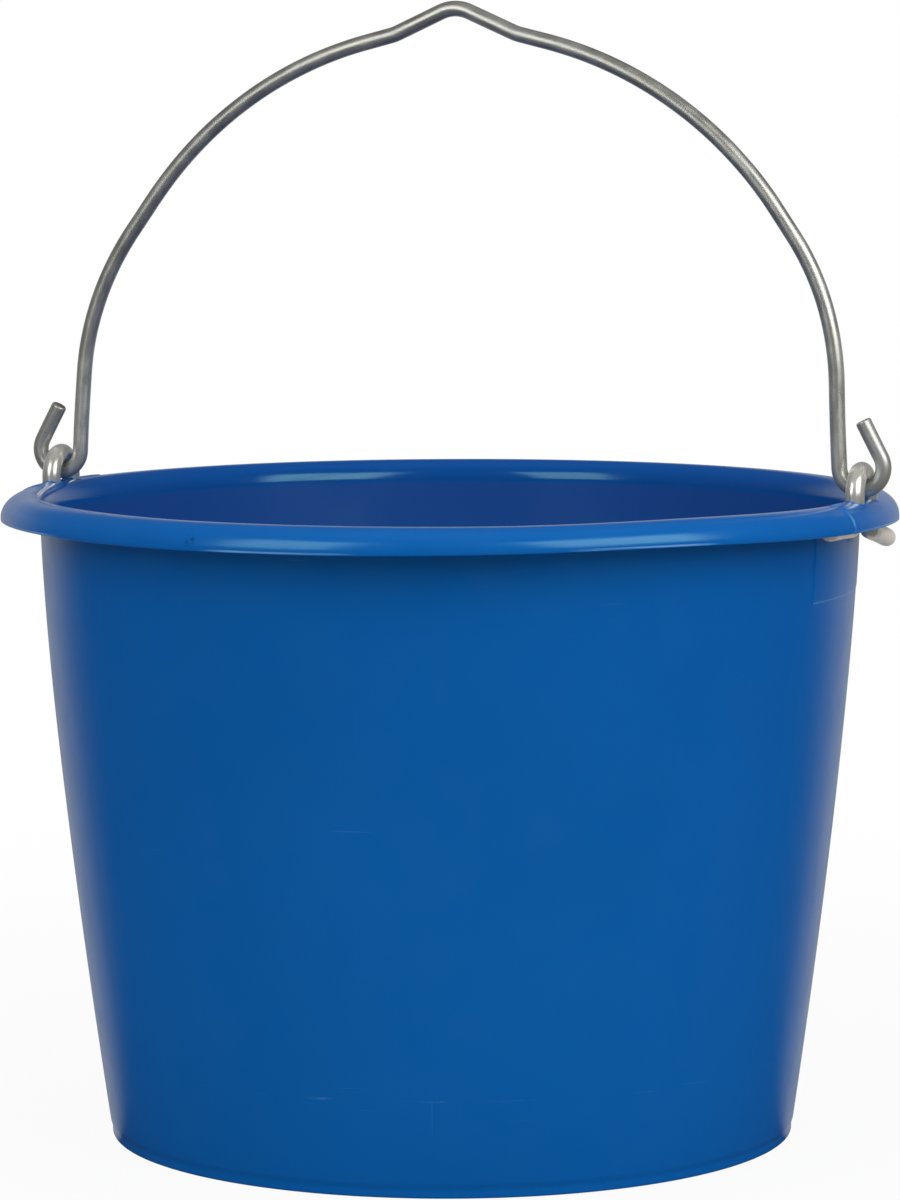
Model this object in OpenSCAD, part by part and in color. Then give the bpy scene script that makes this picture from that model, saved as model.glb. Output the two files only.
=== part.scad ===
// Feed bucket with a wire bail, as used in a stable.
// A moulded tub carries two wire eyes through its rolled lip, and the bail's
// two hooks turn in those eyes. Millimetres. The origin is the centre of the
// foot ring on the ground, +Z is up, and the two eyes lie on the X axis.

/* [Tub] */
// Height of the tub from the ground to the top of its lip
tub_h = 230; // [200:1:280]
// Outer radius of the foot, at the ground
foot_r = 122.4; // [105:0.2:130]
// Outer radius of the wall just under the lip
wall_top_r = 146; // [138:0.5:150]
// How hard the wall swells between foot and lip, where 1 is a straight cone
wall_swell = 1.3; // [1:0.05:1.5]
// Thickness of the wall
wall_t = 3; // [2:0.1:4]
// Thickness of the floor
floor_t = 3; // [2:0.1:5]
// Height of the foot ring, by which the floor is clear of the ground
foot_h = 4; // [3:0.5:8]
// Width of the foot ring
foot_w = 5; // [4:0.5:8]
// How far the wall stands out over the foot ring
foot_step = 0.7; // [0.3:0.1:1.2]
// Radius of the inside corner between wall and floor
corner_r = 9; // [5:0.5:15]

/* [Lip] */
// How far the lip stands out from the wall
lip_w = 14; // [12.5:0.5:18]
// Height of the lip from its top to its free lower edge
lip_h = 9; // [8:0.5:12]
// Height of the straight lower edge on the lip's outside
lip_edge_h = 1; // [0.5:0.5:3]
// Thickness of the lip
lip_t = 2.8; // [2:0.1:3.4]
// Width of the flat on top of the lip, between its two rounded sides
lip_flat = 1; // [1:0.5:3]
// Height over which the mouth flares into the lip
flare_h = 7.8; // [6:0.2:9]
// Width by which the mouth flares into the lip
flare_w = 6.5; // [5:0.5:7]

/* [Ears] */
// Half of the angle that an ear's thick block takes on the lip, in degrees
ear_half_angle = 10.2; // [8:0.2:12]
// How far the ear block stands out over the lip
ear_step = 0.5; // [0.3:0.1:1]
// Thickness of the ear block where the eye passes through it
ear_t = 5; // [4.5:0.1:6]
// Half of the angle that the stiffening pad takes on the wall, in degrees
pad_half_angle = 11; // [10.8:0.2:16]
// How far the pad stands out from the wall
pad_step = 0.5; // [0.4:0.1:1.2]
// Height of the pad under the lip's lower edge
pad_h = 24.5; // [15:0.5:40]

/* [Eyes] */
// Diameter of the eye's wire
eye_wire_d = 6.7; // [5:0.1:7]
// Distance between the eye's two legs, centre to centre
eye_w = 17; // [16:0.5:19]
// Diameter of the holes in the ear block less that of the wire
eye_hole_play = 0.2; // [0.1:0.1:0.5]
// Inner radius of the tight bend between a leg and its foot
foot_inner_r = 0.9; // [0.6:0.1:2]
// Reach of the tucked foot, from its leg's centre to its end
tucked_reach = 22; // [16:0.5:24]
// Angle by which the tucked foot turns in under the lip, in degrees
tucked_turn = 8; // [5:0.5:10]
// Reach of the sprung foot, which was bent over less tightly
sprung_reach = 26; // [18:0.5:28]
// How much lower the sprung foot starts
sprung_drop = 2.4; // [2.2:0.1:5]
// Angle by which the sprung foot hangs down past the lip, in degrees
sprung_droop = 12; // [10:0.5:20]

/* [Bail] */
// Diameter of the bail's wire
bail_wire_d = 5.6; // [4.5:0.1:5.8]
// Gap between the ear's top and the hook's lowest point
hook_gap = 0.3; // [0.3:0.1:1]
// Running play between the hook's wire and the eye's arch, above and below
eye_play = 0.4; // [0.3:0.1:1]
// Radius of the hook, at the wire's centre
hook_r = 7.9; // [7.6:0.1:8.6]
// Length of the hook's straight end
hook_end = 14.2; // [8:0.2:16]
// Angle by which the hook's end leans back to the leg, in degrees
hook_lean = 28; // [15:1:35]
// Angle by which the legs lean in, in degrees
leg_lean = 3; // [0:0.5:6]
// Length of the straight leg over each hook
leg_l = 29.1; // [20:0.1:45]
// Radius of the shoulder between leg and arch, at the wire's centre
shoulder_r = 98; // [60:1:110]
// Lean of the bail where the shoulder ends, in degrees
shoulder_lean = 35; // [25:1:40]
// Length of the straight stretch between shoulder and arch
shoulder_l = 12.5; // [5:0.5:25]
// Slope of the arch where it meets the hand peak, in degrees
arch_slope = 14; // [12:0.5:18]
// Width of the hand peak, where the arch ends and the peak's feet begin
peak_w = 48.4; // [40:0.2:70]
// Length of the straight stretch between arch and peak
peak_run = 10; // [5:1:14]
// Slope of the peak's two sides, in degrees
peak_slope = 24; // [20:1:32]
// Radius of the peak's foot, at the wire's centre
peak_foot_r = 15; // [10:1:25]
// Radius of the peak, at the wire's centre
peak_r = 13; // [9:1:18]
// How far the wires' cut ends are chamfered
cut_chamfer = 0.5; // [0.2:0.1:1]

/* [Hidden] */
// Steps in each rounded corner of the tub's section, and in its long wall
corner_steps = 8;
wall_steps = 14;
// Overlap with which one part of a moulding is sunk into another, how far a
// cut runs out past both faces, and half the height of the foot ring's bevel
sink = 0.6;
cut_over = 1;
bevel_h = 1;
// Straight wire runs this far into the bends at its ends, which are a hair
// thicker, so that a wire is one solid all along
joint_lap = 0.2;
joint_swell = 0.02;

// Levels and radii of the lip, its section's corner and the wall's two ends
lip_low_z = tub_h - lip_h;
lip_side_z = lip_low_z + lip_edge_h;
flat_in_r = wall_top_r - wall_t + flare_w;
flat_out_r = flat_in_r + lip_flat;
lip_r = wall_top_r + lip_w;
lip_in_r = lip_r - lip_t;
wall_bottom_z = foot_h + bevel_h;
wall_bottom_r = foot_r + foot_step;
wall_top_z = tub_h - lip_t;
hollow_h = wall_top_z - lip_side_z;
inside_z = foot_h + floor_t;

// Eye: midway across the lip's hollow, with the ear's top and underside, the
// feet under it and the arch over it
eye_r = (wall_top_r + pad_step + lip_in_r) / 2;
ear_top_z = tub_h + ear_step;
ear_low_z = ear_top_z - ear_t;
foot_bend_r = foot_inner_r + eye_wire_d / 2;
foot_z = ear_low_z - foot_bend_r;
hook_z = ear_top_z + hook_gap + bail_wire_d / 2;
arch_top_z = hook_z + bail_wire_d / 2 + eye_play + eye_wire_d / 2;
eye_arch_r = eye_w / 2;
eye_arch_z = arch_top_z - eye_arch_r;

// Bail: the centres and meeting points of its bends, as [x, z]. The arch takes
// the radius with which it just spans from the shoulder to the peak.
hook_c = [eye_r, hook_z + hook_r];
leg_low = hook_c + hook_r * [-cos(leg_lean), -sin(leg_lean)];
leg_top = leg_low + leg_l * [-sin(leg_lean), cos(leg_lean)];
shoulder_c = leg_top - shoulder_r * [cos(leg_lean), sin(leg_lean)];
shoulder_end = shoulder_c + shoulder_r * [cos(shoulder_lean), sin(shoulder_lean)];
arch_low = shoulder_end + shoulder_l * [-sin(shoulder_lean), cos(shoulder_lean)];
arch_r = (arch_low[0] - peak_run * cos(arch_slope) - peak_w / 2)
    / (cos(shoulder_lean) - sin(arch_slope));
arch_c = arch_low - arch_r * [cos(shoulder_lean), sin(shoulder_lean)];
arch_top = arch_c + arch_r * [sin(arch_slope), cos(arch_slope)];
peak_foot = arch_top + peak_run * [-cos(arch_slope), sin(arch_slope)];
peak_foot_c = peak_foot + peak_foot_r * [sin(arch_slope), cos(arch_slope)];
peak_low = peak_foot_c - peak_foot_r * [sin(peak_slope), cos(peak_slope)];
peak_side_l = (peak_low[0] - peak_r * sin(peak_slope)) / cos(peak_slope);
peak_top = peak_low + peak_side_l * [-cos(peak_slope), sin(peak_slope)];
peak_c = [0, peak_top[1] - peak_r * cos(peak_slope)];
hook_tip = hook_c + hook_r * [cos(hook_lean), sin(hook_lean)];
hook_end_p = hook_tip + hook_end * [-sin(hook_lean), cos(hook_lean)];

$fn = 96;

// ---- Tub ----

// Outer radius of the wall at a height, before the pads are added
function wall_out(z) =
    wall_top_r - (wall_top_r - wall_bottom_r)
    * pow(max(0, 1 - (z - wall_bottom_z) / (lip_low_z - wall_bottom_z)), wall_swell);

// Points along an ellipse's arc about [r, z], from one angle to another
function arc(r, z, half_w, half_h, from, to) = [
    for (i = [0 : corner_steps])
        let (a = from + (to - from) * i / corner_steps)
            [r + half_w * cos(a), z + half_h * sin(a)]
];

// Heights of the wall's steps between two levels
function levels(low, high) = [
    for (i = [0 : wall_steps]) low + (high - low) * i / wall_steps
];

// The lip's outer side, from its top flat to its lower edge, stood out by a step
function lip_outside(step) = concat(
    arc(flat_out_r, lip_side_z, lip_r + step - flat_out_r, tub_h + step - lip_side_z, 90, 0),
    [[lip_r + step, lip_low_z]]
);

// Section of the tub as one closed outline of [radius, height]
module tub_section() {
    wall_in_low = inside_z + corner_r;
    wall_in_high = tub_h - flare_h;
    corner_c = wall_out(wall_in_low) - wall_t - corner_r;
    polygon(concat(
        // underside and foot ring
        [[0, foot_h], [foot_r - foot_w, foot_h], [foot_r - foot_w, 0], [foot_r, 0]],
        [[foot_r, foot_h - bevel_h], [wall_bottom_r, wall_bottom_z]],
        // outside of the wall up to the lip's hollow
        [for (z = levels(wall_bottom_z, lip_low_z)) if (z > wall_bottom_z) [wall_out(z), z]],
        // hollow of the lip, its lower edge and its outside
        arc(flat_out_r, lip_side_z, flat_out_r - wall_top_r, hollow_h, 180, 90),
        [for (p = arc(flat_out_r, lip_side_z, lip_in_r - flat_out_r, hollow_h, 90, 0))
            if (p[0] > flat_out_r) p],
        [[lip_in_r, lip_low_z]],
        [for (i = [0 : corner_steps + 1]) lip_outside(0)[corner_steps + 1 - i]],
        // top flat, flared mouth and inside of the wall down to the floor
        arc(flat_in_r, wall_in_high, flare_w, flare_h, 90, 180),
        [for (z = levels(-wall_in_high, -wall_in_low)) if (-z < wall_in_high) [wall_out(-z) - wall_t, -z]],
        [for (p = arc(corner_c, wall_in_low, corner_r, corner_r, 0, -90)) if (p[1] < wall_in_low) p],
        [[0, inside_z]]
    ));
}

// Section of one ear's block: the lip made thicker above and below
module ear_section() {
    polygon(concat(
        [[wall_top_r - sink, ear_low_z], [lip_r - sink, ear_low_z], [lip_r - sink, lip_low_z]],
        [for (i = [0 : corner_steps + 1]) lip_outside(ear_step)[corner_steps + 1 - i]],
        [[flat_in_r + sink, ear_top_z]]
    ));
}

// Section of one stiffening pad on the wall
module pad_section() {
    pad_low_z = lip_low_z - pad_h;
    polygon(concat(
        [for (z = levels(pad_low_z, lip_low_z)) [wall_out(z) + pad_step, z]],
        [[wall_top_r + pad_step, wall_top_z + sink]],
        [for (z = levels(-wall_top_z - sink, -pad_low_z)) [wall_out(-z) - sink, -z]]
    ));
}

// Turns a section about the axis over an angle centred on the X axis
module sector(half_angle) {
    rotate([0, 0, -half_angle])
        rotate_extrude(angle = 2 * half_angle)
            children();
}

// Draws its children at the right ear and again at the left one
module both_ears() {
    for (side = [0, 180]) rotate([0, 0, side]) children();
}

module eye_holes() {
    for (side = [-1, 1])
        translate([eye_r, side * eye_w / 2, ear_low_z - cut_over])
            cylinder(d = eye_wire_d + eye_hole_play, h = ear_t + 2 * cut_over);
}

module tub() {
    color("#0d5496")
        difference() {
            union() {
                rotate_extrude() tub_section();
                both_ears() {
                    sector(ear_half_angle) ear_section();
                    sector(pad_half_angle) pad_section();
                }
            }
            both_ears() eye_holes();
        }
}

// ---- Wire ----

// Straight wire along +Z between two bends, or to a chamfered end if it is cut
module rod(wire_d, length, cut = false) {
    top = cut ? length - cut_chamfer : length + joint_lap;
    translate([0, 0, -joint_lap]) cylinder(d = wire_d, h = top + joint_lap);
    if (cut)
        translate([0, 0, top])
            cylinder(d1 = wire_d, d2 = wire_d - 2 * cut_chamfer, h = cut_chamfer);
}

// Wire bent in the XZ plane about the point c, from one angle to another
module bend(wire_d, c, radius, from, to) {
    translate([c[0], 0, c[1]])
        rotate([90, 0, 0])
            rotate([0, 0, from])
                rotate_extrude(angle = to - from)
                    translate([radius, 0]) circle(d = wire_d + joint_swell);
}

// Straight wire in the XZ plane from p, leaning over by an angle towards +X
module lean(wire_d, p, angle, length, cut = false) {
    translate([p[0], 0, p[1]])
        rotate([0, angle, 0])
            rod(wire_d, length, cut);
}

// ---- Eyes ----

// One leg below the arch and its foot, clenched over towards +X of its own frame.
// With no droop the foot lies level at foot_level, and its end is at reach.
module leg_and_foot(foot_level, reach, turn, droop) {
    bend_z = foot_level + foot_bend_r;
    rotate([0, 0, turn]) {
        translate([0, 0, bend_z]) rod(eye_wire_d, eye_arch_z - bend_z);
        bend(eye_wire_d, [foot_bend_r, bend_z], foot_bend_r, 180, 270 - droop);
        lean(
            eye_wire_d,
            [foot_bend_r - foot_bend_r * sin(droop), bend_z - foot_bend_r * cos(droop)],
            90 + droop,
            (reach - foot_bend_r + foot_bend_r * sin(droop)) / cos(droop),
            cut = true
        );
    }
}

module eye() {
    color("#9a9d98")
        translate([eye_r, 0, 0]) {
            rotate([0, 0, 90]) bend(eye_wire_d, [0, eye_arch_z], eye_arch_r, 0, 180);
            translate([0, -eye_w / 2, 0])
                rotate([0, 0, -90])
                    leg_and_foot(foot_z, tucked_reach, -tucked_turn, 0);
            translate([0, eye_w / 2, 0])
                rotate([0, 0, 90])
                    leg_and_foot(foot_z - sprung_drop, sprung_reach, 0, sprung_droop);
        }
}

module eye_right() {
    eye();
}

module eye_left() {
    mirror([1, 0, 0]) eye();
}

// ---- Bail ----

// One half of the bail, from the foot of the peak to the cut end of the hook
module bail_half() {
    lean(bail_wire_d, peak_low, peak_slope - 90, peak_side_l);
    bend(bail_wire_d, peak_foot_c, peak_foot_r, 270 - peak_slope, 270 - arch_slope);
    lean(bail_wire_d, arch_top, arch_slope - 90, peak_run);
    bend(bail_wire_d, arch_c, arch_r, shoulder_lean, 90 - arch_slope);
    lean(bail_wire_d, shoulder_end, -shoulder_lean, shoulder_l);
    bend(bail_wire_d, shoulder_c, shoulder_r, leg_lean, shoulder_lean);
    lean(bail_wire_d, leg_low, -leg_lean, leg_l);
    bend(bail_wire_d, hook_c, hook_r, 180 + leg_lean, 360 + hook_lean);
    lean(bail_wire_d, hook_tip, -hook_lean, hook_end, cut = true);
}

module bail() {
    color("#a3a69f") {
        bend(bail_wire_d, peak_c, peak_r, 90 - peak_slope, 90 + peak_slope);
        bail_half();
        mirror([1, 0, 0]) bail_half();
    }
}

tub();
eye_left();
eye_right();
bail();
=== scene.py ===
import math

import bmesh
import bpy
from mathutils import Matrix, Vector


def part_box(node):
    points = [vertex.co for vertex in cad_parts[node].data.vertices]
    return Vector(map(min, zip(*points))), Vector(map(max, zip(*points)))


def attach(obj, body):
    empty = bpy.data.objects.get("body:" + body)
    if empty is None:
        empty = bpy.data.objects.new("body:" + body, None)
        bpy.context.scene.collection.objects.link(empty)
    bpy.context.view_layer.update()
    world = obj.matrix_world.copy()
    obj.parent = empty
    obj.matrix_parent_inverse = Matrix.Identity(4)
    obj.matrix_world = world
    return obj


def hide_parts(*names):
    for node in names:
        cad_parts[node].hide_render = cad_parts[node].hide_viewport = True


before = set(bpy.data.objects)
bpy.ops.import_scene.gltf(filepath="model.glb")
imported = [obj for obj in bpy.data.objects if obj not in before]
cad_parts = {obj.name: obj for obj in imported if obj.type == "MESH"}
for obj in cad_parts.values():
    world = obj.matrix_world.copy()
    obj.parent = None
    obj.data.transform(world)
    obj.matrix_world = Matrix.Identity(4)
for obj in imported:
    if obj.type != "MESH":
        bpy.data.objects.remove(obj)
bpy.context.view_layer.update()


# ---- Tub ----
# One injection moulding of blue polyethylene: a tapered wall on a foot ring, a
# hollow rolled lip, a thick block in the lip at each ear and a flat stiffening
# pad on the wall below it. Its edges are soft and it carries a little wear.

MM = 0.001

tub_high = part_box("tub")[1]
EAR_STEP = 0.5 * MM
LIP_TOP = tub_high.z - EAR_STEP
LIP_R = tub_high.y
LIP_LOW = LIP_TOP - 9 * MM
LIP_SIDE = LIP_LOW + 1 * MM
LIP_T = 2.8 * MM
WALL_TOP_R = LIP_R - 14 * MM
WALL_T = 3 * MM
WALL_LOW = 5 * MM
WALL_LOW_R = 123.1 * MM
WALL_SWELL = 1.36
FLAT_IN = WALL_TOP_R - WALL_T + 6.5 * MM
FLAT_OUT = FLAT_IN + 1 * MM
FLARE_H = 7.8 * MM
FOOT_R = 122.4 * MM
FOOT_IN = 117.4 * MM
FOOT_STEP_Z = 3 * MM
GATE_R = 3 * MM
GATE_DEPTH = 0.7 * MM
FLOOR_LOW = 4 * MM
FLOOR_TOP = 7 * MM
FLOOR_CORNER = 9 * MM
EAR_LOW = LIP_TOP - 4.5 * MM
EAR_HALF = math.radians(10.2)
PAD_HALF = math.radians(11)
PAD_STEP = 0.5 * MM
PAD_LOW = LIP_LOW - 24.5 * MM
EYE_X = (WALL_TOP_R + PAD_STEP + LIP_R - LIP_T) / 2
EYE_HALF = 8.5 * MM
HOLE_R = 3.45 * MM
EDGE_SOFT = 0.2 * MM / LIP_R
WAVE_DEPTH = 0.07 * MM
WARP_REACH = 60 * MM
# The lip has warped a little. Each lift has its middle and half its width in
# degrees, then how far it raises the lip's lower edge and the lip's top.
LIFTS = (
    (-38, 27, 0.6 * MM, 0.6 * MM),
    (-52, 38, 0.7 * MM, 0),
    (-134, 30, 0.35 * MM, 0.35 * MM),
)


def wall_radius(z):
    """Outer radius of the swelling wall at a height."""
    rest = max(0, 1 - (z - WALL_LOW) / (LIP_LOW - WALL_LOW))
    return WALL_TOP_R - (WALL_TOP_R - WALL_LOW_R) * rest**WALL_SWELL


def ellipse(r, z, half_w, half_h, start, stop, steps, zone):
    """Outline points along part of an ellipse about (r, z), with no rounding of their own."""
    points = []
    for i in range(steps + 1):
        a = math.radians(start + (stop - start) * i / steps)
        points.append((r + half_w * math.cos(a), z + half_h * math.sin(a), 0, zone))
    return points


def tub_outline():
    """The section's corners as (radius, height, rounding, zone), from under the floor to its top."""
    inside_low = FLOOR_TOP + FLOOR_CORNER
    inside_high = LIP_TOP - FLARE_H
    wall_heights = [WALL_LOW + (LIP_LOW - WALL_LOW) * i / 48 for i in range(1, 49)]
    inside_heights = [inside_high + (inside_low - inside_high) * i / 40 for i in range(1, 40)]
    corner_r = wall_radius(inside_low) - WALL_T - FLOOR_CORNER
    gate_z = FLOOR_LOW - GATE_DEPTH
    hollow_h = LIP_TOP - LIP_T - LIP_SIDE
    return [
        (0, gate_z, 0, "floor"),
        (GATE_R, gate_z, 0.3 * MM, "floor"),
        (GATE_R + 0.4 * MM, FLOOR_LOW, 0.4 * MM, "floor"),
        (FOOT_IN - 0.2 * MM, FLOOR_LOW, 1.2 * MM, "floor"),
        (FOOT_IN, 0, 0.6 * MM, "foot"),
        (FOOT_R, 0, 0.9 * MM, "foot"),
        (FOOT_R, FOOT_STEP_Z, 0.8 * MM, "foot"),
        (WALL_LOW_R, WALL_LOW, 0.6 * MM, "wall"),
        *[(wall_radius(z), z, 0, "wall") for z in wall_heights],
        *ellipse(FLAT_OUT, LIP_SIDE, FLAT_OUT - WALL_TOP_R, hollow_h, 180, 90, 8, "hollow"),
        *ellipse(FLAT_OUT, LIP_SIDE, LIP_R - LIP_T - FLAT_OUT, hollow_h, 90, 0, 8, "hollow")[1:],
        (LIP_R - LIP_T, LIP_LOW, 1.0 * MM, "hollow"),
        (LIP_R, LIP_LOW, 1.1 * MM, "lip"),
        *ellipse(FLAT_OUT, LIP_SIDE, LIP_R - FLAT_OUT, LIP_TOP - LIP_SIDE, 0, 90, 16, "lip"),
        *ellipse(FLAT_IN, inside_high, FLAT_IN - WALL_TOP_R + WALL_T, FLARE_H, 90, 180, 16, "mouth"),
        *[(wall_radius(z) - WALL_T, z, 0, "inside") for z in inside_heights],
        *ellipse(corner_r, inside_low, FLOOR_CORNER, FLOOR_CORNER, 0, -90, 10, "inside"),
        (0, FLOOR_TOP, 0, "inside"),
    ]


def rounded(outline, longest):
    """The outline with its corners rounded, and with no stretch longer than the given length."""
    dense = []
    for i, (r, z, radius, zone) in enumerate(outline):
        here = Vector((r, z))
        if radius:
            back = Vector(outline[i - 1][:2]) - here
            on = Vector(outline[i + 1][:2]) - here
            reach = min(radius, back.length * 0.45, on.length * 0.45)
            first = here + back.normalized() * reach
            last = here + on.normalized() * reach
            for step in range(6):
                t = step / 5
                spot = (1 - t) ** 2 * first + 2 * t * (1 - t) * here + t**2 * last
                dense.append((spot, zone))
        else:
            dense.append((here, zone))
    result = [dense[0]]
    for here, zone in dense[1:]:
        last = result[-1][0]
        pieces = max(1, math.ceil((here - last).length / longest))
        for i in range(1, pieces + 1):
            result.append((last.lerp(here, i / pieces), zone))
    return result


def ramp(value, low, high):
    """Rises smoothly from 0 at low to 1 at high."""
    t = min(1, max(0, (value - low) / (high - low)))
    return t * t * (3 - 2 * t)


def from_ear(turn):
    """Angle from the middle of the nearer ear."""
    turn = turn % math.pi
    return min(turn, math.pi - turn)


def warped(z, turn):
    """The height at which the moulding's warp leaves a point near the lip."""
    up_lip = min(1, max(0, (z - LIP_LOW) / (LIP_TOP - LIP_LOW)))
    for middle, half, at_edge, at_top in LIFTS:
        off_lift = abs((turn - math.radians(middle) + math.pi) % math.tau - math.pi)
        lift = (at_edge + (at_top - at_edge) * up_lip) * (1 - ramp(off_lift, 0, math.radians(half)))
        z += lift * ramp(z, LIP_LOW - WARP_REACH, LIP_LOW)
    return z


def tub_point(r, z, zone, turn):
    """A point of the section turned about the axis, with the ears, the pads and slight waves."""
    off = from_ear(turn)
    crown_soft = EDGE_SOFT
    if zone in ("lip", "mouth"):
        crown_soft *= 1 + 6 * ramp(z, LIP_TOP - 3 * MM, LIP_TOP)
    in_ear = 1 - ramp(off, EAR_HALF - crown_soft, EAR_HALF + crown_soft)
    in_pad = 1 - ramp(off, PAD_HALF - EDGE_SOFT, PAD_HALF + EDGE_SOFT)
    if zone == "lip":
        lean = math.atan2(max(0, z - LIP_SIDE), max(1e-9, r - FLAT_OUT))
        r += EAR_STEP * in_ear * math.cos(lean)
        z += EAR_STEP * in_ear * math.sin(lean)
    if zone == "mouth":
        z += EAR_STEP * in_ear * ramp(r, FLAT_IN - 0.1 * MM, FLAT_IN + 0.5 * MM)
    if zone == "wall":
        r += PAD_STEP * in_pad * ramp(z, PAD_LOW - 0.3 * MM, PAD_LOW + 0.3 * MM)
    if zone in ("wall", "hollow") and z > EAR_LOW:
        z += (EAR_LOW - z) * in_ear
    z = warped(z, turn)
    height = ramp(z, 0, LIP_TOP)
    wave = math.sin(3 * turn + 0.6 + 9 * z / LIP_TOP)
    wave += 0.6 * math.sin(7 * turn + 2.1 - 14 * z / LIP_TOP)
    away_from_ears = ramp(off, PAD_HALF, 2 * PAD_HALF)
    r -= WAVE_DEPTH * (1.6 + wave) * height * away_from_ears
    return Vector((r * math.cos(turn), r * math.sin(turn), z))


def tub_turns():
    """The angles of the mesh's columns: even, but closer in the ears and at the ears' and pads' ends."""
    even = 288
    in_ear_step = math.radians(0.3125)
    turns = {round(math.tau * i / even, 6) for i in range(even)}
    for middle in (0, math.pi):
        turns |= {round((middle + in_ear_step * i) % math.tau, 6) for i in range(-20, 21)}
    for middle in (0, math.pi):
        for side in (-1, 1):
            for half in (EAR_HALF, PAD_HALF):
                edge = middle + side * half
                turns -= {t for t in turns if abs(t - edge % math.tau) < 2.2 * EDGE_SOFT}
                turns |= {round((edge + k * EDGE_SOFT) % math.tau, 6) for k in (-2, -1, -0.4, 0.4, 1, 2)}
    return sorted(turns)


def tub_mesh():
    """The whole moulding, before the holes for the eyes are drilled."""
    section = rounded(tub_outline(), 6 * MM)
    turns = tub_turns()
    columns = len(turns)
    verts = [Vector((0, 0, section[0][0].y))]
    for point, zone in section[1:-1]:
        verts += [tub_point(point.x, point.y, zone, turn) for turn in turns]
    verts.append(Vector((0, 0, section[-1][0].y)))
    last = len(verts) - 1
    rows = len(section) - 2
    faces = []
    for j in range(columns):
        k = (j + 1) % columns
        faces.append((0, 1 + k, 1 + j))
        for i in range(rows - 1):
            low = 1 + i * columns
            high = low + columns
            faces.append((low + j, low + k, high + k, high + j))
        top = 1 + (rows - 1) * columns
        faces.append((top + j, top + k, last))
    mesh = bpy.data.meshes.new("tub_moulding")
    mesh.from_pydata(verts, [], faces)
    return mesh


def add_object(name, mesh):
    """Puts a mesh in the scene as a smooth-shaded object at the origin."""
    mesh.validate()
    mesh.shade_smooth()
    piece = bpy.data.objects.new(name, mesh)
    bpy.context.collection.objects.link(piece)
    return piece


def drill(piece, places, radius, low, high):
    """Cuts upright round holes through a piece."""
    drills = bmesh.new()
    for x, y in places:
        bmesh.ops.create_cone(
            drills,
            cap_ends=True,
            segments=40,
            radius1=radius,
            radius2=radius,
            depth=high - low,
            matrix=Matrix.Translation((x, y, (low + high) / 2)),
        )
    mesh = bpy.data.meshes.new("drill")
    drills.to_mesh(mesh)
    drills.free()
    tool = bpy.data.objects.new("drill", mesh)
    bpy.context.collection.objects.link(tool)
    cut = piece.modifiers.new("holes", "BOOLEAN")
    cut.operation = "DIFFERENCE"
    cut.solver = "EXACT"
    cut.object = tool
    evaluated = piece.evaluated_get(bpy.context.evaluated_depsgraph_get())
    piece.data = bpy.data.meshes.new_from_object(evaluated)
    piece.modifiers.clear()
    bpy.data.objects.remove(tool)


def srgb(red, green, blue):
    """A colour as it is seen, from 0 to 255, as the shader wants it."""
    levels = []
    for c in (red, green, blue):
        levels.append(((c / 255 + 0.055) / 1.055) ** 2.4 if c > 10 else c / 255 / 12.92)
    return (*levels, 1)


class Nodes:
    """A node tree that is made one call at a time."""

    def __init__(self, tree):
        self.tree = tree

    def node(self, kind, settings=None, **inputs):
        """Adds a node. Its inputs go by name, with _ for a space, or by number, as i0 and i1."""
        made = self.tree.nodes.new(kind)
        for key, value in (settings or {}).items():
            setattr(made, key, value)
        for key, value in inputs.items():
            slot = int(key[1:]) if key[1:].isdigit() else key.replace("_", " ")
            self.plug(made.inputs[slot], value)
        return made

    def plug(self, socket, value):
        """Gives a socket a value, or links it to another node's socket."""
        if isinstance(value, bpy.types.NodeSocket):
            self.tree.links.new(value, socket)
        else:
            socket.default_value = value

    def maths(self, operation, first, second=0.0):
        return self.node("ShaderNodeMath", {"operation": operation}, i0=first, i1=second).outputs[0]

    def add(self, first, second):
        return self.maths("ADD", first, second)

    def less(self, first, second):
        return self.maths("SUBTRACT", first, second)

    def times(self, first, second):
        return self.maths("MULTIPLY", first, second)

    def between(self, value, low, high, to_low=0.0, to_high=1.0):
        """Maps a value's stretch from low to high smoothly onto another stretch."""
        made = self.node("ShaderNodeMapRange", {"interpolation_type": "SMOOTHSTEP"}, Value=value)
        made.inputs["From Min"].default_value = low
        made.inputs["From Max"].default_value = high
        made.inputs["To Min"].default_value = to_low
        made.inputs["To Max"].default_value = to_high
        return made.outputs["Result"]

    def stretched(self, place, along):
        """The same place, with each direction multiplied."""
        made = self.node("ShaderNodeVectorMath", {"operation": "MULTIPLY"}, i0=place, i1=along)
        return made.outputs[0]

    def toward(self, place, direction):
        """How far a place lies in a direction."""
        made = self.node("ShaderNodeVectorMath", {"operation": "DOT_PRODUCT"}, i0=place, i1=direction)
        return made.outputs["Value"]

    def distance(self, place):
        """How far a place is from the middle."""
        return self.node("ShaderNodeVectorMath", {"operation": "LENGTH"}, i0=place).outputs["Value"]


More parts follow.
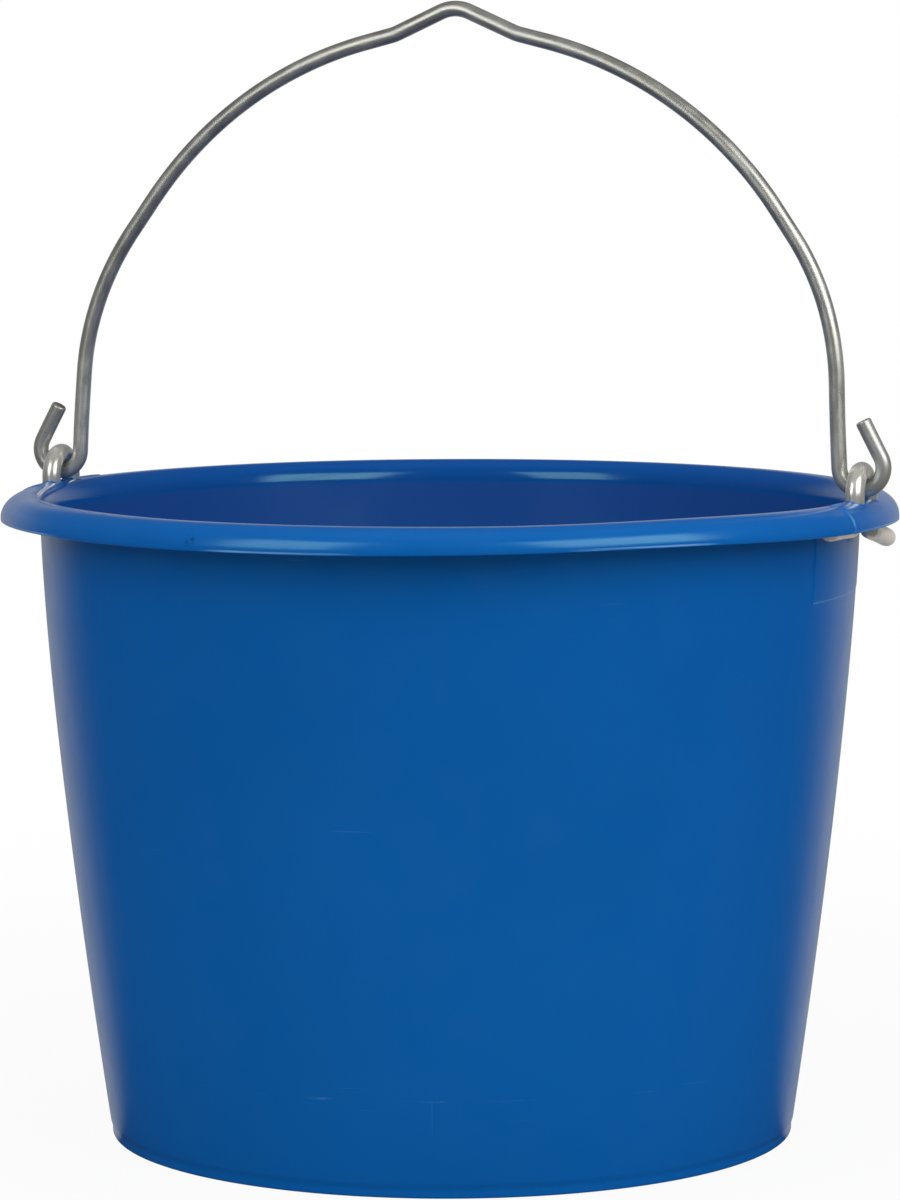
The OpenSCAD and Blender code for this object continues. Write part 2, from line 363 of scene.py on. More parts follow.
class Finish(Nodes):
    """A material and its nodes."""

    def __init__(self, name):
        self.material = bpy.data.materials.new(name)
        self.material.use_nodes = True
        super().__init__(self.material.node_tree)
        self.shader = self.tree.nodes["Principled BSDF"]

    def noise(self, place, scale, detail=3.0, roughness=0.5):
        """Cloudy noise from 0 to 1, with its scale in waves a metre."""
        made = self.node("ShaderNodeTexNoise", Vector=place, Scale=scale)
        made.inputs["Detail"].default_value = detail
        made.inputs["Roughness"].default_value = roughness
        return made.outputs["Fac"]

    def mix(self, amount, first, second):
        made = self.node("ShaderNodeMix", {"data_type": "RGBA"}, i0=amount, i6=first, i7=second)
        return made.outputs[2]

    def bump(self, height, distance, under=None):
        made = self.node("ShaderNodeBump", Height=height, Distance=distance, Strength=1.0)
        if under:
            self.plug(made.inputs["Normal"], under)
        return made.outputs["Normal"]


# the radius at which the finish's marks are measured round the tub
UNROLLED_R = 140 * MM


class TubFinish(Finish):
    """The tub's plastic, with the places on the tub that its colour and its wear keep to."""

    def __init__(self, name):
        super().__init__(name)
        self.place = self.node("ShaderNodeTexCoord").outputs["Object"]
        self.x, self.y, self.z = self.node("ShaderNodeSeparateXYZ", Vector=self.place).outputs
        self.turn = self.maths("ARCTAN2", self.y, self.x)
        self.round_tub = self.times(self.turn, UNROLLED_R)
        self.unrolled = self.flat(self.round_tub, self.z)
        squares = self.add(self.times(self.x, self.x), self.times(self.y, self.y))
        self.from_axis = self.maths("SQRT", squares)
        self.from_wall = self.less(self.from_axis, self.mid_wall())
        self.outside_lip = self.between(self.from_axis, LIP_R - 3 * MM, LIP_R - 1 * MM)

    def flat(self, across, up):
        """A place on a flat sheet."""
        return self.node("ShaderNodeCombineXYZ", X=across, Y=up, Z=0.0).outputs[0]

    def mid_wall(self):
        """The radius halfway through the wall, which wall_radius gives for its outside."""
        up_wall = self.maths("DIVIDE", self.less(self.z, WALL_LOW), LIP_LOW - WALL_LOW)
        rest = self.maths("MAXIMUM", self.less(1.0, up_wall), 0.0)
        taper = self.times(self.maths("POWER", rest, WALL_SWELL), WALL_TOP_R - WALL_LOW_R)
        return self.less(WALL_TOP_R - WALL_T / 2, taper)

    def near(self, value, middle, half):
        """1 where a value is at its middle, falling to 0 at half a band's width away."""
        off = self.maths("ABSOLUTE", self.less(value, middle))
        return self.between(off, half, 0.2 * half)

    def clouding_and_foot_light(self):
        """The blue, faintly clouded, with painted light that makes it a shade paler toward the foot,
        where the floor lights the low wall.
        """
        cloud = self.noise(self.place, 14.0, 4.0)
        high_up = self.mix(cloud, srgb(0, 77, 146), srgb(2, 82, 154))
        low_down = self.mix(cloud, srgb(0, 82, 154), srgb(2, 87, 162))
        # painted light: paler low down and darker high up, standing in for the floor's light on the wall
        return self.mix(self.between(self.z, 200 * MM, 30 * MM), high_up, low_down)

    def in_wall(self):
        """1 on the wall's inside."""
        under_mouth = self.between(self.z, LIP_LOW + 2 * MM, LIP_LOW)
        return self.times(self.between(self.from_wall, 0.5 * MM, -0.5 * MM), under_mouth)

    def in_mouth(self):
        """1 on the flare from the wall's inside up to the lip."""
        over_wall = self.between(self.z, LIP_LOW, LIP_LOW + 2 * MM)
        return self.times(self.between(self.from_axis, FLAT_IN, FLAT_IN - 3 * MM), over_wall)

    def scratches(self):
        """Hairlines that run round the tub, and a few that run down it."""
        round_lines = self.noise(self.stretched(self.unrolled, (16.0, 900.0, 1.0)), 1.0, 2.0)
        patches = self.between(self.noise(self.place, 22.0, 2.0), 0.55, 0.68)
        hairlines = self.times(self.between(round_lines, 0.69, 0.76), patches)
        down_lines = self.noise(self.stretched(self.unrolled, (1100.0, 14.0, 1.0)), 1.0, 2.0)
        drags = self.times(self.between(down_lines, 0.71, 0.78), patches)
        return self.add(hairlines, self.times(drags, 0.6))

    def stacking_ring(self):
        """The broken ring that the bucket below rubs when they are stacked."""
        along_ring = self.flat(self.add(self.round_tub, 29.6 * MM), self.z)
        breaks = self.noise(self.stretched(along_ring, (45.0, 500.0, 1.0)), 1.0, 5.0, 0.7)
        return self.times(self.near(self.z, 34 * MM, 0.6 * MM), self.between(breaks, 0.54, 0.72))

    def painted_lip_highlights(self):
        """Painted highlights: the lip's lower edge, bright in eight stretches where the side boxes'
        reflections fall, and its crown.
        """
        edge_z = LIP_LOW + 0.6 * MM
        for middle, half, at_edge, _ in LIFTS:
            off_lift = self.maths("ABSOLUTE", self.less(self.turn, math.radians(middle)))
            edge_z = self.add(edge_z, self.between(off_lift, math.radians(half), 0.0, 0.0, at_edge))
        low_edge = self.times(self.near(self.z, edge_z, 0.5 * MM), self.outside_lip)
        # painted highlight: the eight stretches sit under the side boxes' reflections on the rolled edge
        eighths = self.maths("COSINE", self.times(self.add(self.turn, math.radians(91)), 8.0))
        breaks = self.noise(self.stretched(self.unrolled, (30.0, 900.0, 1.0)), 1.0, 4.0, 0.6)
        broken = self.between(breaks, 0.38, 0.62, 0.35, 1.0)
        bright = self.times(self.between(eighths, 0.1, 0.7), broken)
        # painted highlight: a bright line along the crown's inner edge
        on_top = self.between(self.z, LIP_TOP - 1 * MM, LIP_TOP)
        crown = self.times(self.near(self.from_axis, FLAT_IN - 0.6 * MM, 0.7 * MM), on_top)
        return self.add(self.times(low_edge, bright), self.times(crown, 0.3))

    def strain_and_edge_highlights(self):
        """Strain whitening round the eyes' holes, a painted highlight with a little strain whitening
        along the ears' ends, and a painted highlight at the pads' feet.
        """
        side_x = self.maths("ABSOLUTE", self.x)
        side_y = self.maths("ABSOLUTE", self.y)
        off_ear = self.maths("ARCTAN2", side_y, side_x)
        in_lip = self.between(self.z, LIP_LOW, LIP_LOW + 1 * MM)
        out_on_lip = self.between(self.from_axis, FLAT_OUT - 1 * MM, FLAT_OUT)
        # painted highlight, with a little strain whitening, along the ears' ends
        ear_end = self.times(self.near(off_ear, EAR_HALF, 0.5 * MM / LIP_R), out_on_lip)
        on_pad = self.between(self.from_wall, 0.5 * MM, 1 * MM)
        in_pad = self.times(self.between(off_ear, PAD_HALF, PAD_HALF - 0.003), on_pad)
        # painted highlight along the small step at the pads' feet
        pad_end = self.times(self.near(self.z, PAD_LOW, 0.5 * MM), in_pad)
        off_hole = self.distance(self.flat(self.less(side_x, EYE_X), self.less(side_y, EYE_HALF)))
        spread = self.add(off_hole, self.times(self.noise(self.place, 500.0, 3.0), 1.6 * MM))
        holes = self.times(self.between(spread, HOLE_R + 1.6 * MM, HOLE_R + 0.5 * MM), in_lip)
        pale = self.add(self.times(holes, 0.25), self.times(pad_end, 0.22))
        return self.add(self.times(self.times(ear_end, in_lip), 0.12), pale)

    def knock(self):
        """One crumbled knock on the lip."""
        across = self.near(self.turn, math.radians(-102.6), 0.016)
        spot = self.times(across, self.near(self.z, LIP_LOW + 3 * MM, 3.5 * MM))
        crumbled = self.between(self.noise(self.place, 900.0, 2.0), 0.45, 0.6)
        return self.times(self.times(spot, self.outside_lip), crumbled)

    def skin(self, grooves):
        """Fine upright drawing from the mould, an orange-peel grain, slow waves and the grooves."""
        drawing = self.noise(self.stretched(self.unrolled, (1500.0, 220.0, 1.0)), 1.0, 2.0)
        skin = self.bump(drawing, 0.010 * MM)
        skin = self.bump(self.noise(self.place, 2600.0, 3.0, 0.6), 0.010 * MM, skin)
        waves = self.noise(self.stretched(self.unrolled, (60.0, 14.0, 1.0)), 1.0, 2.0)
        skin = self.bump(waves, 0.10 * MM, skin)
        return self.bump(self.times(grooves, -1.0), 0.02 * MM, skin)


def polyethylene():
    """Satin blue polyethylene that wears paler where it rubs, with painted shade inside and painted
    highlights on the lip, the ears' ends and the pads' feet.
    """
    finish = TubFinish("blue_polyethylene")
    scratches = finish.scratches()
    wear_and_highlights = finish.add(finish.times(scratches, 0.16), finish.times(finish.stacking_ring(), 0.35))
    wear_and_highlights = finish.add(wear_and_highlights, finish.add(finish.times(finish.painted_lip_highlights(), 0.6), finish.strain_and_edge_highlights()))
    wear_and_highlights = finish.node("ShaderNodeClamp", Value=wear_and_highlights).outputs[0]

    in_mouth = finish.in_mouth()
    # painted shade: the wall's inside and the mouth's flare are coloured darker and duller for the shade
    # inside the tub
    colour = finish.mix(finish.in_wall(), finish.clouding_and_foot_light(), srgb(25, 66, 135))
    colour = finish.mix(in_mouth, colour, srgb(8, 67, 137))
    # the pale wear colour, which also paints the lip's, ears' and pads' highlights
    colour = finish.mix(wear_and_highlights, colour, srgb(112, 158, 200))
    colour = finish.mix(finish.times(finish.knock(), 0.7), colour, srgb(0, 44, 92))
    finish.plug(finish.shader.inputs["Base Color"], colour)

    # satin, duller over the wear and the painted highlights, and glossier in the mouth
    roughness = finish.between(finish.noise(finish.place, 60.0, 5.0), 0.25, 0.75, 0.19, 0.25)
    roughness = finish.add(roughness, finish.times(wear_and_highlights, 0.15))
    roughness = finish.add(roughness, finish.times(in_mouth, -0.09))
    finish.plug(finish.shader.inputs["Roughness"], roughness)
    finish.shader.inputs["IOR"].default_value = 1.5
    finish.shader.inputs["Specular IOR Level"].default_value = 0.5
    finish.shader.inputs["Specular Tint"].default_value = (0.45, 1.0, 0.85, 1.0)
    finish.plug(finish.shader.inputs["Normal"], finish.skin(scratches))
    return finish.material


BURR_OUT = 0.28 * MM
BURR_R = 0.3 * MM


def crown_height(r):
    """Height of an ear's crown at a radius."""
    if r > FLAT_OUT:
        lean = (r - FLAT_OUT) / (LIP_R + EAR_STEP - FLAT_OUT)
        return LIP_SIDE + (LIP_TOP + EAR_STEP - LIP_SIDE) * math.sqrt(1 - lean * lean)
    lean = max(0, FLAT_IN - r) / (FLAT_IN - WALL_TOP_R + WALL_T)
    raised = EAR_STEP * ramp(r, FLAT_IN - 0.4 * MM, FLAT_IN + 0.5 * MM)
    return LIP_TOP - FLARE_H * (1 - math.sqrt(1 - lean * lean)) + raised


def burr_mesh(places):
    """The ragged collars of plastic that the eyes' legs pushed up round their holes."""
    verts = []
    faces = []
    around = 72
    section = 10
    for hole, (x, y) in enumerate(places):
        first = len(verts)
        for k in range(around):
            turn = math.tau * k / around
            ragged = 0.62 + 0.2 * math.sin(3 * turn + hole)
            ragged += 0.18 * math.sin(8 * turn + 2 * hole) * math.sin(5 * turn)
            for j in range(section):
                lean = math.tau * j / section
                collar = HOLE_R + BURR_OUT + BURR_R * math.cos(lean)
                spot = Vector((x + collar * math.cos(turn), y + collar * math.sin(turn)))
                z = crown_height(spot.length) + ragged * math.sin(lean) * BURR_R
                verts.append((spot.x, spot.y, z))
        for k in range(around):
            here = first + k * section
            on = first + (k + 1) % around * section
            for j in range(section):
                j_on = (j + 1) % section
                faces.append((here + j, on + j, on + j_on, here + j_on))
    mesh = bpy.data.meshes.new("ear_burrs")
    mesh.from_pydata(verts, [], faces)
    return mesh


tub = add_object("tub_moulding", tub_mesh())
hole_places = [(side * EYE_X, leg * EYE_HALF) for side in (-1, 1) for leg in (-1, 1)]
drill(tub, hole_places, HOLE_R, EAR_LOW - 2 * MM, LIP_TOP + 3 * MM)
tub.data.materials.clear()
tub.data.materials.append(polyethylene())
burrs = add_object("ear_burrs", burr_mesh(hole_places))
burrs.data.materials.append(tub.data.materials[0])
for piece in (tub, burrs):
    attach(piece, "tub")
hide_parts("tub")


# ---- Eyes ----
# A staple of galvanised wire at each ear. Its arch is pushed down through two
# holes in the ear block, and its legs are bent over below: one foot is tucked
# under the lip and the other has sprung out a little, hammered pale.

EYE_WIRE_R = 3.35 * MM
BAIL_WIRE_R = 2.8 * MM
EYE_PLAY = 0.4 * MM
HOOK_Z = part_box("bail")[0].z + BAIL_WIRE_R
EYE_ARCH_TOP = HOOK_Z + BAIL_WIRE_R + EYE_PLAY + EYE_WIRE_R
EYE_ARCH_Z = EYE_ARCH_TOP - EYE_HALF
FOOT_INNER_R = 0.9 * MM
FOOT_BEND_R = EYE_WIRE_R + FOOT_INNER_R
FOOT_Z = EAR_LOW - FOOT_BEND_R
TUCKED_REACH = 22 * MM
TUCKED_TURN = math.radians(8)
SPRUNG_REACH = 26 * MM
SPRUNG_DROP = 2.4 * MM
SPRUNG_DROOP = math.radians(12)
HAMMERED_BY = 0.25 * MM
CUT_CHAMFER = 0.5 * MM
WIRE_SIDES = 32


class WirePath:
    """The centreline of a bent wire, made of straights and bends that follow on from one another."""

    def __init__(self, start, heading, spacing=1.0 * MM):
        self.points = [Vector(start)]
        self.heading = Vector(heading).normalized()
        self.spacing = spacing

    def straight(self, length):
        """Runs straight on."""
        start = self.points[-1]
        steps = max(1, round(length / self.spacing))
        self.points += [start + self.heading * length * i / steps for i in range(1, steps + 1)]

    def bend(self, radius, angle, axis):
        """Bends by an angle in radians about an axis, by the right-hand rule."""
        axis = Vector(axis).normalized()
        start = self.points[-1]
        side = axis.cross(self.heading) * math.copysign(1, angle)
        centre = start + side * radius
        steps = max(3, round(abs(angle) * radius / self.spacing), round(abs(angle) / math.radians(6)))
        for i in range(1, steps + 1):
            turned = Matrix.Rotation(angle * i / steps, 3, axis)
            self.points.append(centre + turned @ (start - centre))
        self.heading = Matrix.Rotation(angle, 3, axis) @ self.heading


def wire_rings(points):
    """The wire's rings as (centre, run along the wire, inset), with a chamfer at each end."""
    length = 0
    runs = [0]
    for a, b in zip(points, points[1:]):
        length += (b - a).length
        runs.append(length)
    start_in = points[0].lerp(points[1], CUT_CHAMFER / (runs[1] - runs[0]))
    end_in = points[-1].lerp(points[-2], CUT_CHAMFER / (runs[-1] - runs[-2]))
    rings = [(points[0], 0, CUT_CHAMFER), (start_in, CUT_CHAMFER, 0)]
    rings += [(p, run, 0) for p, run in zip(points[1:-1], runs[1:-1])]
    rings += [(end_in, length - CUT_CHAMFER, 0), (points[-1], length, CUT_CHAMFER)]
    return rings


def note_wire(mesh, notes, length):
    """Tells the finish where each point is.

    The point attribute wire holds its run along the wire and its place across it, and from_end its
    run from the nearer end.
    """
    # each attribute is filled before the next is made, which would move it
    along = mesh.attributes.new("wire", "FLOAT_VECTOR", "POINT")
    for item, value in zip(along.data, notes):
        item.vector = value
    from_end = mesh.attributes.new("from_end", "FLOAT", "POINT")
    for item, value in zip(from_end.data, notes):
        item.value = min(value[0], length - value[0])


def wire_mesh(name, points, radius, swell):
    """A round wire along its centreline, whose cut ends take the object's second material.

    swell(run, length, outward) gives the change of its radius.
    """
    rings = wire_rings(points)
    length = rings[-1][1]
    tangents = []
    for i in range(len(rings)):
        before = rings[max(0, i - 1)][0]
        after = rings[min(len(rings) - 1, i + 1)][0]
        tangents.append((after - before).normalized())
    across = tangents[0].orthogonal().normalized()
    verts = []
    notes = []
    for (p, run, inset), tangent in zip(rings, tangents):
        across = (across - tangent * across.dot(tangent)).normalized()
        over = tangent.cross(across)
        for k in range(WIRE_SIDES):
            turn = math.tau * k / WIRE_SIDES
            outward = across * math.cos(turn) + over * math.sin(turn)
            size = radius - inset + swell(run, length, outward)
            verts.append(p + size * outward)
            notes.append((run, radius * math.cos(turn), radius * math.sin(turn)))
    faces = []
    for i in range(len(rings) - 1):
        low = i * WIRE_SIDES
        high = low + WIRE_SIDES
        for k in range(WIRE_SIDES):
            n = (k + 1) % WIRE_SIDES
            faces.append((low + k, low + n, high + n, high + k))
    cut_ends = len(faces)
    faces.append(tuple(reversed(range(WIRE_SIDES))))
    faces.append(tuple(range(len(verts) - WIRE_SIDES, len(verts))))
    mesh = bpy.data.meshes.new(name)
    mesh.from_pydata(verts, [], faces)
    note_wire(mesh, notes, length)
    for polygon in mesh.polygons:
        polygon.material_index = 1 if polygon.index >= cut_ends else 0
    return mesh


ZINC_BLOOM = srgb(196, 192, 170)
ZINC_PIT = srgb(84, 84, 78)
ZINC_MIDDLE = srgb(120, 121, 115)
ZINC_METAL = 0.68


def galvanised(name, light, dark, shine, end_reach, end_colour, end_metal):
    """Zinc on drawn wire, with streaks along it, cloudy oxide and a faint yellow bloom.

    Both its ends have a colour and a metallic share of their own over end_reach, and what lies more
    than a hand's breadth from them is a shade darker, rougher and more metallic.
    """
    finish = Finish(name)
    wire = finish.node("ShaderNodeAttribute", {"attribute_name": "wire"}).outputs["Vector"]
    from_end = finish.node("ShaderNodeAttribute", {"attribute_name": "from_end"}).outputs["Fac"]
    streaks = finish.noise(finish.stretched(wire, (30.0, 900.0, 900.0)), 1.0, 4.0, 0.6)
    clouds = finish.noise(finish.stretched(wire, (110.0, 260.0, 260.0)), 1.0, 4.0)
    bloom = finish.noise(finish.stretched(wire, (70.0, 180.0, 180.0)), 1.0, 2.0)
    grain = finish.noise(wire, 1500.0, 2.0)
    pits = finish.between(grain, 0.36, 0.26)
    scuffed = finish.add(from_end, finish.times(finish.less(clouds, 0.5), 8 * MM))
    in_end = finish.between(scuffed, end_reach + 4 * MM, end_reach - 4 * MM)
    in_middle = finish.between(from_end, 50 * MM, 110 * MM)

    tone = finish.add(finish.times(streaks, 0.45), finish.times(clouds, 0.55))
    colour = finish.mix(finish.between(tone, 0.36, 0.64), dark, light)
    colour = finish.mix(finish.between(bloom, 0.5, 0.7, 0.0, 0.25), colour, ZINC_BLOOM)
    colour = finish.mix(finish.times(pits, 0.14), colour, ZINC_PIT)
    colour = finish.mix(in_end, colour, finish.mix(pits, end_colour, ZINC_PIT))
    colour = finish.mix(finish.times(in_middle, 0.04), colour, ZINC_MIDDLE)
    finish.plug(finish.shader.inputs["Base Color"], colour)

    roughness = finish.between(clouds, 0.3, 0.7, shine, shine + 0.12)
    roughness = finish.add(roughness, finish.times(in_middle, 0.12))
    roughness = finish.add(roughness, finish.times(in_end, 0.08))
    finish.plug(finish.shader.inputs["Roughness"], roughness)
    metal = finish.between(in_end, 0.0, 1.0, ZINC_METAL, end_metal)
    metal = finish.add(metal, finish.times(in_middle, 0.18))
    finish.plug(finish.shader.inputs["Metallic"], metal)
    skin = finish.bump(grain, 0.0012 * MM)
    skin = finish.bump(streaks, 0.007 * MM, skin)
    finish.plug(finish.shader.inputs["Normal"], skin)
    return finish.material


def cut_steel():
    """The bare steel of a sheared end, dull and a little brown."""
    finish = Finish("sheared_steel")
    place = finish.node("ShaderNodeTexCoord").outputs["Object"]
    lines = finish.noise(finish.stretched(place, (2600.0, 500.0, 2600.0)), 1.0, 3.0)
    colour = finish.mix(lines, srgb(88, 84, 80), srgb(116, 111, 106))
    finish.plug(finish.shader.inputs["Base Color"], colour)
    finish.shader.inputs["Metallic"].default_value = 0.4
    finish.shader.inputs["Roughness"].default_value = 0.55
    finish.plug(finish.shader.inputs["Normal"], finish.bump(lines, 0.04 * MM))
    return finish.material


def eye_path():
    """Centreline of the right eye, from the sprung foot over the arch to the tucked foot."""
    along_x = Vector((1, 0, 0))
    sprung_z = FOOT_Z - SPRUNG_DROP
    bend_run = FOOT_BEND_R - FOOT_BEND_R * math.sin(SPRUNG_DROOP)
    droop_run = (SPRUNG_REACH - bend_run) / math.cos(SPRUNG_DROOP)
    up = WirePath((EYE_X, EYE_HALF, EYE_ARCH_Z), (0, 0, -1), 0.5 * MM)
    up.straight(EYE_ARCH_Z - sprung_z - FOOT_BEND_R)
    up.bend(FOOT_BEND_R, math.pi / 2 - SPRUNG_DROOP, along_x)
    up.straight(droop_run)
    over = WirePath((EYE_X, EYE_HALF, EYE_ARCH_Z), (0, 0, 1), 0.5 * MM)
    over.bend(EYE_HALF, math.pi, along_x)
    over.straight(EYE_ARCH_Z - FOOT_Z - FOOT_BEND_R)
    foot_axis = Matrix.Rotation(-TUCKED_TURN, 3, "Z") @ along_x
    over.bend(FOOT_BEND_R, -math.pi / 2, foot_axis)
    over.straight(TUCKED_REACH - FOOT_BEND_R)
    return list(reversed(up.points)) + over.points[1:]


def hammered(run, length, out):
    """Slight flats under both feet, where a hammer bent them over."""
    from_end = min(run, length - run)
    in_foot = 1 - ramp(from_end, 12 * MM, 20 * MM)
    return -HAMMERED_BY * in_foot * max(0, -out.z) ** 3


zinc_eye = galvanised(
    "galvanised_eye",
    light=srgb(222, 221, 213),
    dark=srgb(186, 186, 179),
    shine=0.17,
    end_reach=20 * MM,
    end_colour=srgb(206, 198, 188),
    end_metal=0.1,
)
for side, node in ((1, "eye_right"), (-1, "eye_left")):
    path = [Vector((side * p.x, p.y, p.z)) for p in eye_path()]
    eye = add_object(node + "_wire", wire_mesh(node + "_wire", path, EYE_WIRE_R, hammered))
    # the second time for its cut ends, which are zinced as well
    eye.data.materials.append(zinc_eye)
    eye.data.materials.append(zinc_eye)
    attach(eye, "tub")
    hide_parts(node)


# ---- Bail ----
# One galvanised wire, bent into an arch with a raised hand peak in the middle
# and a hook at each end that turns in its eye. It was bent round formers, so
# its bends are even, and its two cut ends are sheared square.

HOOK_R = 7.9 * MM
HOOK_END = 14.2 * MM
HOOK_LEAN = math.radians(28)
LEG_LEAN = math.radians(3)
LEG_L = 29.1 * MM
SHOULDER_R = 98 * MM
SHOULDER_LEAN = math.radians(35)
SHOULDER_L = 12.5 * MM
ARCH_SLOPE = math.radians(14)
PEAK_HALF = 24.2 * MM
PEAK_RUN = 10 * MM
PEAK_SLOPE = math.radians(24)
PEAK_FOOT_R = 15 * MM
PEAK_R = 13 * MM
PULLED_OVER = 2.8 * MM
PULL_LOW = 245 * MM
PULL_HIGH = 345 * MM
DRAWN_BY = 0.015 * MM


def bail_half():
    """Centreline of the right half, from the middle of the peak to the hook's cut end."""
    leg_x = EYE_X - HOOK_R * math.cos(LEG_LEAN) - LEG_L * math.sin(LEG_LEAN)
    shoulder_x = leg_x - SHOULDER_R * (math.cos(LEG_LEAN) - math.cos(SHOULDER_LEAN))
    arch_low_x = shoulder_x - SHOULDER_L * math.sin(SHOULDER_LEAN)
    arch_span = arch_low_x - PEAK_RUN * math.cos(ARCH_SLOPE) - PEAK_HALF
    arch_r = arch_span / (math.cos(SHOULDER_LEAN) - math.sin(ARCH_SLOPE))
    peak_low_x = PEAK_HALF - PEAK_FOOT_R * (math.sin(PEAK_SLOPE) - math.sin(ARCH_SLOPE))
    peak_side = (peak_low_x - PEAK_R * math.sin(PEAK_SLOPE)) / math.cos(PEAK_SLOPE)
    down = Vector((0, 1, 0))
    half = WirePath((0, 0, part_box("bail")[1].z - BAIL_WIRE_R), (1, 0, 0))
    half.bend(PEAK_R, PEAK_SLOPE, down)
    half.straight(peak_side)
    half.bend(PEAK_FOOT_R, ARCH_SLOPE - PEAK_SLOPE, down)
    half.straight(PEAK_RUN)
    half.bend(arch_r, math.pi / 2 - SHOULDER_LEAN - ARCH_SLOPE, down)
    half.straight(SHOULDER_L)
    half.bend(SHOULDER_R, SHOULDER_LEAN - LEG_LEAN, down)
    half.straight(LEG_L)
    half.bend(HOOK_R, LEG_LEAN - math.pi - HOOK_LEAN, down)
    half.straight(HOOK_END)
    return half.points


def drawn(run, length, out):
    """The hair's breadth by which drawn and bent wire varies."""
    return -DRAWN_BY * (1 + math.sin(run * 210) * math.sin(run * 47 + 3 * out.y))


right_half = bail_half()
left_half = [Vector((-p.x, p.y, p.z)) for p in reversed(right_half[1:])]
bail_line = []
for p in left_half + right_half:
    bail_line.append(p + Vector((PULLED_OVER * ramp(p.z, PULL_LOW, PULL_HIGH), 0, 0)))
zinc_bail = galvanised(
    "galvanised_bail",
    light=srgb(202, 202, 196),
    dark=srgb(174, 175, 169),
    shine=0.22,
    end_reach=34 * MM,
    end_colour=srgb(176, 177, 172),
    end_metal=0.72,
)
bail = add_object("bail_wire", wire_mesh("bail_wire", bail_line, BAIL_WIRE_R, drawn))
bail.data.materials.append(zinc_bail)
bail.data.materials.append(cut_steel())
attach(bail, "bail")
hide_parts("bail")


# ---- Stand and light ----
# A plain pale studio floor that runs out into a white surround, under soft
# boxes: one broad one overhead and one at each side of the camera.

FLOOR_REACH = 6.0
FLOOR_DROP = 0.2 * MM
CAMERA_TURN = math.radians(20)


def seen_from_camera(right, ahead, up):
    """A place given to the right of, beyond and above the tub's foot, as seen from the camera."""
    return Matrix.Rotation(CAMERA_TURN, 3, "Z") @ Vector((right, ahead, up))


def studio_floor():
    """White to the camera, with a faint grey round the tub.

    Reflections see it dark beside the tub and in front of it, and paler behind it.
    """
    mesh = bpy.data.meshes.new("studio_floor")
    r = FLOOR_REACH
    mesh.from_pydata([(-r, -r, 0), (r, -r, 0), (r, r, 0), (-r, r, 0)], [], [(0, 1, 2, 3)])
    finish = Finish("pale_floor")
    finish.shader.inputs["Base Color"].default_value = srgb(190, 190, 190)
    finish.shader.inputs["Roughness"].default_value = 0.9
    finish.shader.inputs["Specular IOR Level"].default_value = 0.1
    place = finish.node("ShaderNodeTexCoord").outputs["Object"]
    past_tub = finish.add(finish.toward(place, seen_from_camera(0, 1, 0)), 30 * MM)
    aside = finish.maths("ABSOLUTE", finish.toward(place, seen_from_camera(1, 0, 0)))
    behind = finish.maths("ARCTAN2", past_tub, finish.less(aside, 115 * MM))
    in_gloss = finish.between(behind, math.radians(28), math.radians(62), 0.03, 0.44)

    path = finish.node("ShaderNodeLightPath").outputs
    to_camera = path["Is Camera Ray"]
    to_gloss = path["Is Glossy Ray"]
    brightness = finish.add(to_camera, finish.times(to_gloss, in_gloss))
    white = finish.node("ShaderNodeEmission", Color=(1, 1, 1, 1), Strength=brightness).outputs[0]
    paling = finish.between(finish.distance(place), 0.12, 0.9, 0.93, 1.0)
    amount = finish.add(finish.times(to_camera, paling), to_gloss)
    plain = finish.shader.outputs[0]
    blend = finish.node("ShaderNodeMixShader", i0=amount, i1=plain, i2=white).outputs[0]
    finish.plug(finish.tree.nodes["Material Output"].inputs["Surface"], blend)
    mesh.materials.append(finish.material)
    return mesh


floor = add_object("studio_floor", studio_floor())
floor.location.z = -FLOOR_DROP


def soft_box(name, place, aim, width, height, power):
    """An area light at a place, turned to its aim."""
    data = bpy.data.lights.new(name, "AREA")
    data.shape = "RECTANGLE"
    data.size = width
    data.size_y = height
    data.energy = power
    light = bpy.data.objects.new(name, data)
    light.location = place
    light.rotation_mode = "QUATERNION"
    light.rotation_quaternion = (Vector(aim) - Vector(place)).to_track_quat("-Z", "Y")
    bpy.context.collection.objects.link(light)


LIT_POINT = (0, 0, 0.2)
BOX_DISTANCE = 0.8
BOX_LIFT = math.radians(29)
OVERHEAD_Z = 1.8


def beside_camera(turn):
    """A side box's place, at an angle to the right of the camera's side of the tub."""
    reach = BOX_DISTANCE * math.cos(BOX_LIFT)
    up = LIT_POINT[2] + BOX_DISTANCE * math.sin(BOX_LIFT)
    return seen_from_camera(reach * math.sin(turn), -reach * math.cos(turn), up)


above = seen_from_camera(0, 0, OVERHEAD_Z)
on_left = beside_camera(math.radians(-41))
on_right = beside_camera(math.radians(43))
soft_box("overhead", above, LIT_POINT, width=1.2, height=1.2, power=0.5)
soft_box("left_box", on_left, LIT_POINT, width=0.36, height=0.5, power=1.9)
soft_box("right_box", on_right, LIT_POINT, width=0.55, height=0.5, power=3.6)


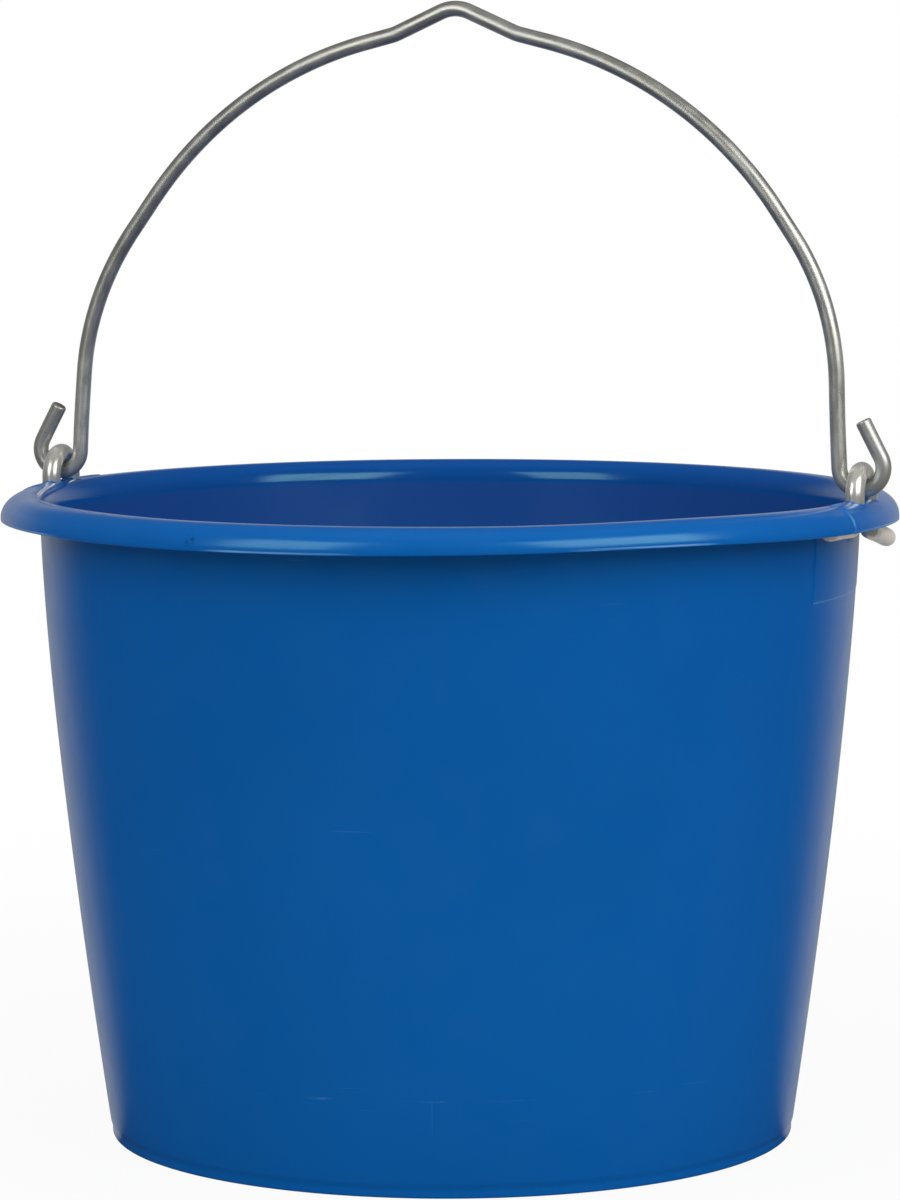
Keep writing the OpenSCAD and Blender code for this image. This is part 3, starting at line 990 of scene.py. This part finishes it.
def surround():
    """Plain white to the camera and an even light on the tub.

    The tub itself reflects a dim room, with a pale wall low down behind it.
    """
    world = bpy.data.worlds.new("studio")
    world.use_nodes = True
    room = Nodes(world.node_tree)
    place = room.node("ShaderNodeTexCoord").outputs["Generated"]
    ahead = room.toward(place, seen_from_camera(0, 1, 0))
    up = room.node("ShaderNodeSeparateXYZ", Vector=place).outputs["Z"]
    low_down = room.between(up, 0.2, 0.45, 1.0, 0.0)
    pale_wall = room.times(room.between(ahead, 0.5, 0.86, 0.0, 0.36), low_down)
    reflected = room.add(room.between(ahead, -0.8, 0.2, 0.045, 0.08), pale_wall)
    even_light = room.between(up, 0.0, 1.0, 0.63, 1.0)

    path = room.node("ShaderNodeLightPath").outputs
    strength = room.node("ShaderNodeMix", i0=path["Is Glossy Ray"], i2=even_light, i3=reflected)
    lit = room.tree.nodes["Background"]
    lit.inputs["Color"].default_value = (1, 1, 1, 1)
    room.plug(lit.inputs["Strength"], strength.outputs[0])
    white = room.node("ShaderNodeBackground", Color=(1, 1, 1, 1)).outputs[0]
    blend = room.node("ShaderNodeMixShader", i0=path["Is Camera Ray"], i1=lit.outputs[0], i2=white)
    room.plug(room.tree.nodes["World Output"].inputs[0], blend.outputs[0])
    return world


bpy.context.scene.world = surround()


# ---- Camera ----
# A long lens a little above the lip, which looks slightly down on the tub and
# stands to its right, so that the right ear is the nearer.

CAMERA_DISTANCE = 1.7668
CAMERA_HEIGHT = 0.3725
CAMERA_PITCH = math.radians(5.879)
CAMERA_ROLL = -0.004
LENS = 148.9
SENSOR_WIDTH = 36
FARTHEST_SEEN = 50

camera_data = bpy.data.cameras.new("camera")
camera_data.lens = LENS
camera_data.sensor_width = SENSOR_WIDTH
camera_data.clip_end = FARTHEST_SEEN
camera = bpy.data.objects.new("camera", camera_data)
camera.matrix_world = (
    Matrix.Translation(seen_from_camera(0, -CAMERA_DISTANCE, CAMERA_HEIGHT))
    @ Matrix.Rotation(CAMERA_TURN, 4, "Z")
    @ Matrix.Rotation(math.pi / 2 - CAMERA_PITCH, 4, "X")
    @ Matrix.Rotation(CAMERA_ROLL, 4, "Z")
)
bpy.context.collection.objects.link(camera)
bpy.context.scene.camera = camera
bpy.context.scene.view_settings.view_transform = "Standard"
